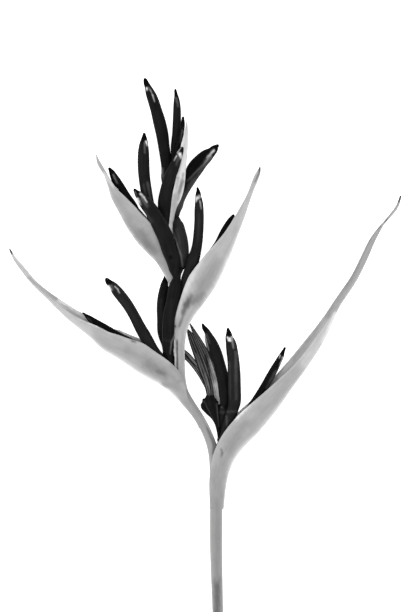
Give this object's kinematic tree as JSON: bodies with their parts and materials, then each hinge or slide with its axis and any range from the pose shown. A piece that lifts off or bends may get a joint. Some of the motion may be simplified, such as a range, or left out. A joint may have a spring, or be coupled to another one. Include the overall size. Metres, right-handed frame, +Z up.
{
  "type": "false bird of paradise flower",
  "caption": "Cut flower head of a parrot heliconia lying flat: zigzag stem, folded boat-shaped bracts and slender tubular flowers with pointed tips.",
  "frame": {"origin": "middle of the bounding box in X and Y, on the surface that the flower head lies on", "axes": "+Y along the flower head from the cut stem to the tips, +X to the side of the lowest bract, +Z up from the surface to the viewer"},
  "size_m": [0.1963, 0.3072, 0.0161],
  "materials": {
    "stem": "satin",
    "bract": "satin",
    "flower": "satin",
    "withered_flower": "matte"
  },
  "bodies": {
    "root": {"stem": "stem", "bract_1": "bract", "bract_2": "bract", "bract_3": "bract", "bract_4": "bract", "bract_5": "bract", "flower_1_a": "flower", "flower_1_b": "flower", "flower_1_c": "flower", "flower_2_a": "flower", "flower_2_b": "flower", "flower_2_c": "flower", "flower_2_d": "flower", "flower_3_a": "flower", "flower_3_b": "flower", "flower_4_a": "flower", "flower_4_b": "flower", "flower_4_c": "flower", "flower_4_d": "flower", "flower_5_a": "flower", "flower_5_b": "flower", "flower_5_c": "flower", "flower_5_d": "flower", "flower_5_e": "flower", "flower_1_withered": "withered_flower"}
  },
  "joints": []
}
